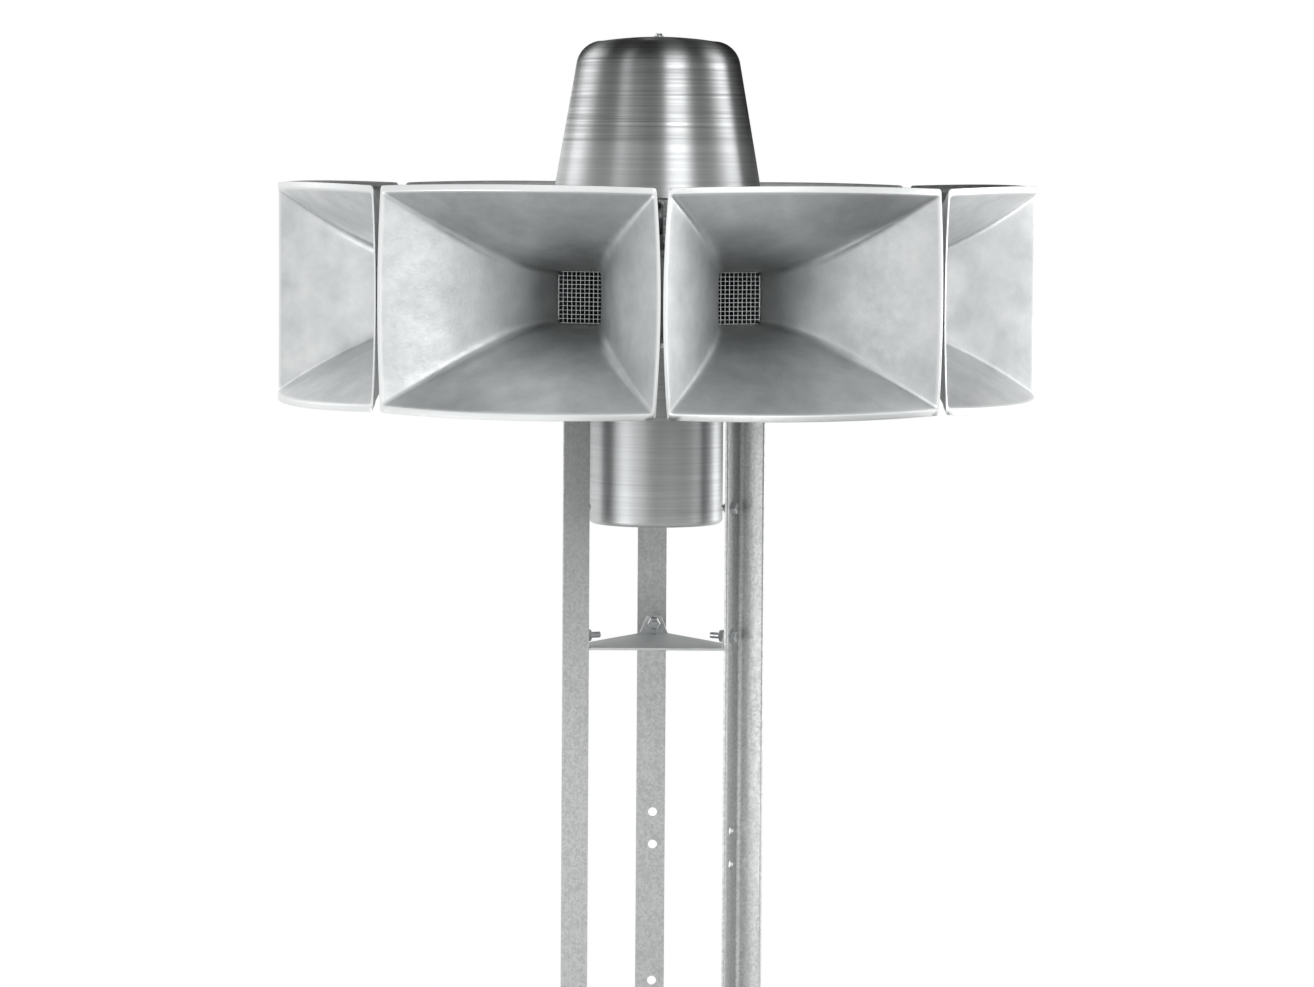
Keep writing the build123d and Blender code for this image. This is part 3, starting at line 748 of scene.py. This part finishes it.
def hood_profile():
    """The hood's sheet from the hem up over the shoulder to the stud hole, and back down inside."""
    crown_radius = (hood_shoulder_radius ** 2 + hood_crown_rise ** 2) / (2 * hood_crown_rise)
    corner = np.array((hood_shoulder_radius, hood_high.z - hood_crown_rise))
    foot = np.array((hood_bottom_radius, hood_low.z))
    down = (foot - corner) / np.linalg.norm(foot - corner)
    lean = hood_shoulder_radius / crown_radius
    along = np.array((-math.cos(math.asin(lean)), lean))
    half = math.acos(float(np.dot(down, along))) / 2
    reach = hood_shoulder_round / math.tan(half)
    centre = corner + (down + along) / np.linalg.norm(down + along) * hood_shoulder_round / math.sin(half)
    start = math.degrees(math.atan2(*(corner + down * reach - centre)[::-1]))
    end = math.degrees(math.atan2(*(corner + along * reach - centre)[::-1]))
    wall = np.linspace(0, 1, hood_wall_steps)[:-1]
    outer = [tuple(foot + (corner + down * reach - foot) * t) for t in wall]
    outer += arc(centre, hood_shoulder_round, start, end, shoulder_steps)
    crown_centre = hood_high.z - crown_radius
    last = outer[-1][0]
    for r in np.linspace(last, stud_hole, crown_steps)[1:]:
        outer.append((r, crown_centre + math.sqrt(crown_radius ** 2 - r ** 2)))
    path = np.array(outer)
    slope = np.gradient(path, axis=0)
    normal = np.stack([-slope[:, 1], slope[:, 0]], axis=1)
    normal /= np.linalg.norm(normal, axis=1)[:, None]
    inner = path + normal * sheet
    hem_centre = (hood_bottom_radius - hem_radius + hem_stand_out, hood_low.z + hem_radius)
    hem = arc(hem_centre, hem_radius, *hem_angles, hem_steps)
    return hem + outer[1:] + [tuple(p) for p in inner[::-1]][:-1]


hood_metal = spun_aluminium(
    "spun_aluminium_trimmed", hood_low.z + trim_height, dull=0.44, bright=0.32, stretch=0.85,
)
hood = turned("rain_hood_spinning", hood_profile(), hood_metal, sharp_degrees=40)
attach(hood, "tower")
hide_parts("rain_hood")

# Fasteners: plated hex bolts and nuts with washers. They hold the legs, ears, brackets, horns and plates,
# and those on the spreader have long thread ends that point inwards.
leg_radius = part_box("leg_rear")[0].y
leg_thickness = 0.00476
ear_thickness = 0.004
spreader_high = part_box("leg_spreader")[1]
deck_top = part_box("top_plate")[1].z
deck_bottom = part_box("bottom_plate")[0].z
bracket_thickness = 0.006
washer_height = 0.0016
thread_pitch = 0.0016
ear_bolt_drop = 0.012
cover_bolt_drop = 0.322
bracket_bolt_drops = (0.032, 0.060)
tie_radius = 0.203
flange_bolt_across = 0.0495
flange_bolt_up = 0.046
crown_nut_sink = 0.0002
chamfer_share = 0.14
thread_ridge_share = 0.045
eye_side_share = 0.1
# each kind: hexagon across flats, hexagon height, washer radius, thread radius, length of the thread end
fastener_sizes = {
    "leg_bolt_heads": (0.0159, 0.0066, 0.0108, 0.003, 0.0),
    "spreader_nuts": (0.0175, 0.0105, 0.0115, 0.00476, 0.0165),
    "leg_nuts": (0.0143, 0.0083, 0.0103, 0.00476, 0.004),
    "bracket_nuts": (0.0127, 0.007, 0.0085, 0.004, 0.003),
    "casing_tie_nuts": (0.0143, 0.0083, 0.011, 0.00476, 0.006),
    "casing_tie_heads": (0.0143, 0.0062, 0.011, 0.003, 0.0),
    "horn_flange_heads": (0.0111, 0.005, 0.0078, 0.002, 0.0),
    "hood_crown_nut": (0.0095, 0.0034, 0.0075, 0.002, 0.0),
}


def hex_fastener_tree():
    """A washer, a chamfered hexagon and a ridged thread end on each seed point, facing the way it says."""
    lengths = (
        "Across Flats", "Hex Height", "Washer Radius", "Washer Height", "Thread Radius", "Thread Length",
    )
    tree, size = sized_tree("hex_fastener", Geometry=("Geometry",), Float=lengths, Material=("Material",))
    corner = add_node(tree, "ShaderNodeMath", {
        0: size["Across Flats"], 1: 1 / math.sqrt(3),
    }, operation="MULTIPLY")
    trimmed = add_node(tree, "ShaderNodeMath", {0: corner, 1: 1 - chamfer_share}, operation="MULTIPLY")
    body = add_node(tree, "ShaderNodeMath", {
        0: size["Hex Height"], 1: 1 - chamfer_share,
    }, operation="MULTIPLY")
    cap = add_node(tree, "ShaderNodeMath", {
        0: size["Hex Height"], 1: chamfer_share,
    }, operation="MULTIPLY")
    stack = add_node(tree, "ShaderNodeMath", {
        0: size["Washer Height"], 1: size["Hex Height"],
    }, operation="ADD")
    length = add_node(tree, "ShaderNodeMath", {0: stack, 1: size["Thread Length"]}, operation="ADD")
    washer_mid = add_node(tree, "ShaderNodeMath", {0: size["Washer Height"], 1: 0.5}, operation="MULTIPLY")
    body_mid = add_node(tree, "ShaderNodeMath", {
        0: body, 1: 0.5, 2: size["Washer Height"],
    }, operation="MULTIPLY_ADD")
    cap_low = add_node(tree, "ShaderNodeMath", {0: body, 1: size["Washer Height"]}, operation="ADD")
    thread_mid = add_node(tree, "ShaderNodeMath", {0: length, 1: 0.5}, operation="MULTIPLY")
    washer = add_node(tree, "GeometryNodeMeshCylinder", {
        "Vertices": 28, "Radius": size["Washer Radius"], "Depth": size["Washer Height"],
    })
    prism = add_node(tree, "GeometryNodeMeshCylinder", {
        "Vertices": 6, "Radius": corner, "Depth": body,
    })
    chamfer = add_node(tree, "GeometryNodeMeshCone", {
        "Vertices": 6, "Radius Top": trimmed, "Radius Bottom": corner, "Depth": cap,
    })
    thread = add_node(tree, "GeometryNodeMeshCylinder", {
        "Vertices": 18, "Side Segments": 36, "Radius": size["Thread Radius"], "Depth": length,
    })
    level = add_node(tree, "ShaderNodeSeparateXYZ", {0: add_node(tree, "GeometryNodeInputPosition")})
    turns = add_node(tree, "ShaderNodeMath", {
        0: level.outputs["Z"], 1: math.tau / thread_pitch,
    }, operation="MULTIPLY")
    ridge = add_node(tree, "ShaderNodeMath", {0: turns}, operation="SINE")
    depth = add_node(tree, "ShaderNodeMath", {
        0: ridge, 1: thread_ridge_share, 2: 1 - thread_ridge_share,
    }, operation="MULTIPLY_ADD")
    flat = add_node(tree, "ShaderNodeCombineXYZ", {"X": depth, "Y": depth, "Z": 1.0})
    pulled = add_node(tree, "ShaderNodeVectorMath", {
        0: add_node(tree, "GeometryNodeInputPosition"), 1: flat,
    }, operation="MULTIPLY")
    ridged = add_node(tree, "GeometryNodeSetPosition", {"Geometry": thread, "Position": pulled})
    stacked = []
    rises = ((washer, washer_mid), (prism, body_mid), (chamfer, cap_low), (ridged, thread_mid))
    for part, rise in rises:
        lift = add_node(tree, "ShaderNodeCombineXYZ", {"Z": rise})
        moved = add_node(tree, "GeometryNodeTransform", {"Geometry": part, "Translation": lift})
        stacked.append(moved)
    fastener = add_node(tree, "GeometryNodeJoinGeometry", {0: tuple(stacked)})
    facing = add_node(tree, "GeometryNodeInputNamedAttribute", {"Name": "facing"}, data_type="FLOAT_VECTOR")
    aim = add_node(tree, "FunctionNodeAlignRotationToVector", {"Vector": facing}, axis="Z")
    placed = add_node(tree, "GeometryNodeInstanceOnPoints", {
        "Points": size["Geometry"], "Instance": fastener, "Rotation": aim,
    })
    whole = add_node(tree, "GeometryNodeRealizeInstances", {0: placed})
    dressed = add_node(tree, "GeometryNodeSetMaterial", {"Geometry": whole, "Material": size["Material"]})
    add_node(tree, "NodeGroupOutput", {0: dressed})
    return tree


def fasteners(name, places):
    """Sets like fasteners on a list of places, each a seat point and the way that the fastener faces."""
    flats, hex_height, washer, thread, thread_length = fastener_sizes[name]
    seed = bpy.data.meshes.new(name)
    seed.from_pydata([tuple(point) for point, _ in places], [], [])
    way = seed.attributes.new("facing", "FLOAT_VECTOR", "POINT")
    way.data.foreach_set("vector", [c for _, facing in places for c in facing])
    sizes = {
        "Across Flats": flats, "Hex Height": hex_height,
        "Washer Radius": washer, "Washer Height": washer_height,
        "Thread Radius": thread, "Thread Length": thread_length, "Material": bolt_steel,
    }
    mesh = grown_mesh(name, fastener_tree, sizes, seed)
    piece = finished_piece(name, mesh, None, sharp_degrees=30)
    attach(piece, "tower")


def outward(angle):
    """A level way out from the siren's axis."""
    return Vector((math.cos(angle), math.sin(angle), 0))


def on_legs(stand_out, heights):
    """Seats on every leg: beyond its inner face they face outwards, on it or short of it inwards."""
    facing = 1 if stand_out > 0 else -1
    return [(way * (leg_radius + stand_out) + Vector((0, 0, z)), way * facing)
            for way in leg_ways for z in heights]


bolt_steel = plated_bolt("plated_bolt_steel", "#b0b3b4", "#e2e4e4")
fastener_tree = hex_fastener_tree()
leg_ways = [outward(a) for a in np.radians((90, -30, 210))]
ear_bolt_height = spreader_high.z - ear_bolt_drop
cover_bolt_height = horn_centre - cover_bolt_drop
bracket_bolt_heights = tuple(deck_bottom - drop for drop in bracket_bolt_drops)
head_heights = (ear_bolt_height, cover_bolt_height) + bracket_bolt_heights
fasteners("leg_bolt_heads", on_legs(leg_thickness, head_heights))
fasteners("spreader_nuts", on_legs(-ear_thickness, [ear_bolt_height]))
fasteners("leg_nuts", on_legs(0, [cover_bolt_height]))
fasteners("bracket_nuts", on_legs(-bracket_thickness, bracket_bolt_heights[1:]))
plate_ways = [outward(a) for a in np.arange(horn_count) * horn_step]
tie_ways = [way for way in plate_ways if abs(way.x) > eye_side_share]
ties = (("casing_tie_nuts", tie_ways, deck_top, 1), ("casing_tie_heads", plate_ways, deck_bottom, -1))
for name, ways, z, facing in ties:
    fasteners(name, [(way * tie_radius + Vector((0, 0, z)), Vector((0, 0, facing))) for way in ways])
flange_heads = []
for angle in horn_angles:
    out = outward(angle)
    across = Vector((-math.sin(angle), math.cos(angle), 0))
    for v in (-flange_bolt_across, flange_bolt_across):
        for z in (-flange_bolt_up, flange_bolt_up):
            seat = out * (flange_radius + flange_thickness) + across * v + Vector((0, 0, horn_centre + z))
            flange_heads.append((seat, out))
fasteners("horn_flange_heads", flange_heads)
crown_nut = [(Vector((0, 0, hood_high.z - crown_nut_sink)), Vector((0, 0, 1)))]
fasteners("hood_crown_nut", crown_nut)

# Studio: a pale round floor that fades out in a white surround, with soft lamps in front and at both sides.
# Dark cards stand close round the hood and the cover, for the bright sheet to mirror as dark streaks.
floor_radius = 2.6
floor_fade = 0.9
floor_steps = 96


def studio_floor():
    """Matt pale card that thins to nothing at its edge, so that it has no visible end."""
    material, tree, shader, place = plain_finish("pale_studio_floor", 0.9, metallic=0.0)
    fill(tree, shader, {"Base Color": linear("#f2f2f2")})
    far = add_node(tree, "ShaderNodeVectorMath", {0: place}, operation="LENGTH")
    fade = add_node(tree, "ShaderNodeMapRange", {
        0: far.outputs["Value"], 1: floor_fade, 2: floor_radius, 3: 0.0, 4: 1.0,
    }, interpolation_type="SMOOTHSTEP")
    clear = add_node(tree, "ShaderNodeBsdfTransparent")
    mix = add_node(tree, "ShaderNodeMixShader", {0: fade, 1: shader, 2: clear})
    fill(tree, tree.nodes["Material Output"], {"Surface": mix})
    return material


floor_mesh = bpy.data.meshes.new("studio_floor")
rim_angles = np.linspace(0, math.tau, floor_steps, endpoint=False)
rim = [(floor_radius * math.cos(a), floor_radius * math.sin(a), 0) for a in rim_angles]
floor_mesh.from_pydata(rim, [], [tuple(range(len(rim)))])
floor_mesh.materials.append(studio_floor())
floor = linked("studio_floor", floor_mesh)

world = bpy.data.worlds.new("white_studio")
world.use_nodes = True
bpy.context.scene.world = world
sky = world.node_tree
ray = add_node(sky, "ShaderNodeLightPath")
seen = add_node(sky, "ShaderNodeMath", {
    0: ray.outputs["Is Camera Ray"], 1: ray.outputs["Is Glossy Ray"],
}, operation="MAXIMUM")
seen_all = add_node(sky, "ShaderNodeMath", {
    0: seen, 1: ray.outputs["Is Transmission Ray"],
}, operation="MAXIMUM")
shade = add_node(sky, "ShaderNodeMix", {
    0: seen_all, 6: linear("#a8a8a8"), 7: linear("#ffffff"),
}, data_type="RGBA")
fill(sky, sky.nodes["Background"], {"Color": shade.outputs[2]})

# each lamp: degrees round from the camera, height angle, distance, width, height, brightness in whites
lamps = {
    "tall_front_lamp": (23, 20, 3.4, 1.4, 2.6, 1.9),
    "left_front_lamp": (-28, 5, 3.4, 1.0, 1.5, 0.6),
    "left_low_lamp": (-55, -29, 1.7, 0.5, 0.9, 2.8),
    "right_low_lamp": (96, -12, 3.0, 1.0, 1.3, 3.6),
    "right_high_lamp": (95, 18, 3.0, 1.1, 2.0, 1.0),
    "right_rear_lamp": (122, 0, 3.0, 1.0, 1.8, 1.6),
    "left_rear_lamp": (-112, 16, 3.0, 1.2, 2.0, 0.8),
}
# each card: from which way round to which, from how high to how high, and its shade; unseen by the camera
cards = {
    "hood_left_card": (-86, -50, 1.98, 2.6, "grey"),
    "hood_front_card": (-37, 9, 1.98, 2.6, "grey"),
    "hood_right_card": (40, 71, 1.98, 2.6, "grey"),
    "hood_right_rear_card": (101, 180, 1.79, 2.6, "black"),
    "hood_left_rear_card": (182, 228, 1.98, 2.6, "grey"),
    "cover_front_card": (-16, 66, 1.10, 1.43, "grey"),
    "cover_rear_card": (132, 214, 1.25, 1.45, "black"),
}
card_shades = {"grey": "#464646", "black": "#2c2c2c"}
card_radius = 0.78
studio_centre = Vector((0, 0, horn_centre))


def bearing_of(turn):
    """A way round from the camera, in degrees, as a bearing in the level plane."""
    return math.radians(turn - 90)


for name, (turn, rise, distance, width, height, brightness) in lamps.items():
    lamp = bpy.data.lights.new(name, "AREA")
    lamp.shape = "RECTANGLE"
    lamp.size = width
    lamp.size_y = height
    lamp.energy = brightness * math.pi * width * height
    holder = linked(name, lamp)
    lift = math.radians(rise)
    level = outward(bearing_of(turn)) * math.cos(lift)
    way = level + Vector((0, 0, math.sin(lift)))
    holder.location = studio_centre + way * distance
    holder.rotation_euler = way.to_track_quat("Z", "Y").to_euler()

ceiling_height = 2.36
ceiling_radius = 0.52
card_steps = 24
card_paper = {}
for shade, colour in card_shades.items():
    card_paper[shade], paper, matt, _ = plain_finish(f"matt_{shade}_card", 1.0, metallic=0.0)
    fill(paper, matt, {"Base Color": linear(colour)})


def card_edge(start, end, height, radius=card_radius):
    """Points along a curved card, from one way round to another."""
    turns = [bearing_of(turn) for turn in np.linspace(start, end, card_steps)]
    return [(radius * math.cos(a), radius * math.sin(a), height) for a in turns]


def dark_card(name, verts, faces, shade):
    """A matt dark card that the metal mirrors and the camera looks past."""
    card_mesh = bpy.data.meshes.new(name)
    card_mesh.from_pydata(verts, [], faces)
    card_mesh.materials.append(card_paper[shade])
    card = linked(name, card_mesh)
    card.visible_camera = False


for name, (start, end, low, high, shade) in cards.items():
    curved = [(i, i + 1, card_steps + i + 1, card_steps + i) for i in range(card_steps - 1)]
    dark_card(name, card_edge(start, end, low) + card_edge(start, end, high), curved, shade)
ceiling = card_edge(0, 360 - 360 / card_steps, ceiling_height, ceiling_radius)
dark_card("hood_ceiling_card", ceiling, [tuple(range(card_steps))], "black")

# Camera: a long lens a little above the horns, almost seven metres off, square to the gap between two.
# It tips down a few degrees and rolls a third of one, so that the legs run out at the foot of the picture.
camera_distance = 6.829
camera_rise = 0.2015
camera_side = 0.002
camera_turn = math.radians(0.713)
camera_tip = math.radians(4.246)
camera_roll = math.radians(0.374)
camera_data = bpy.data.cameras.new("camera")
camera_data.sensor_fit = "HORIZONTAL"
camera_data.sensor_width = 36.0
camera_data.lens = 123.5
camera = linked("camera", camera_data)
turn_back = Matrix.Rotation(-camera_turn, 3, "Z")
ahead = turn_back @ Vector((0, math.cos(camera_tip), -math.sin(camera_tip)))
level_right = turn_back @ Vector((1, 0, 0))
level_up = level_right.cross(ahead)
right = level_right * math.cos(camera_roll) + level_up * math.sin(camera_roll)
up = level_up * math.cos(camera_roll) - level_right * math.sin(camera_roll)
stand = turn_back @ Vector((camera_side, -camera_distance, 0)) + Vector((0, 0, horn_centre + camera_rise))
camera.matrix_world = Matrix.Translation(stand) @ Matrix((right, up, -ahead)).transposed().to_4x4()
bpy.context.scene.camera = camera
bpy.context.scene.view_settings.view_transform = "Standard"
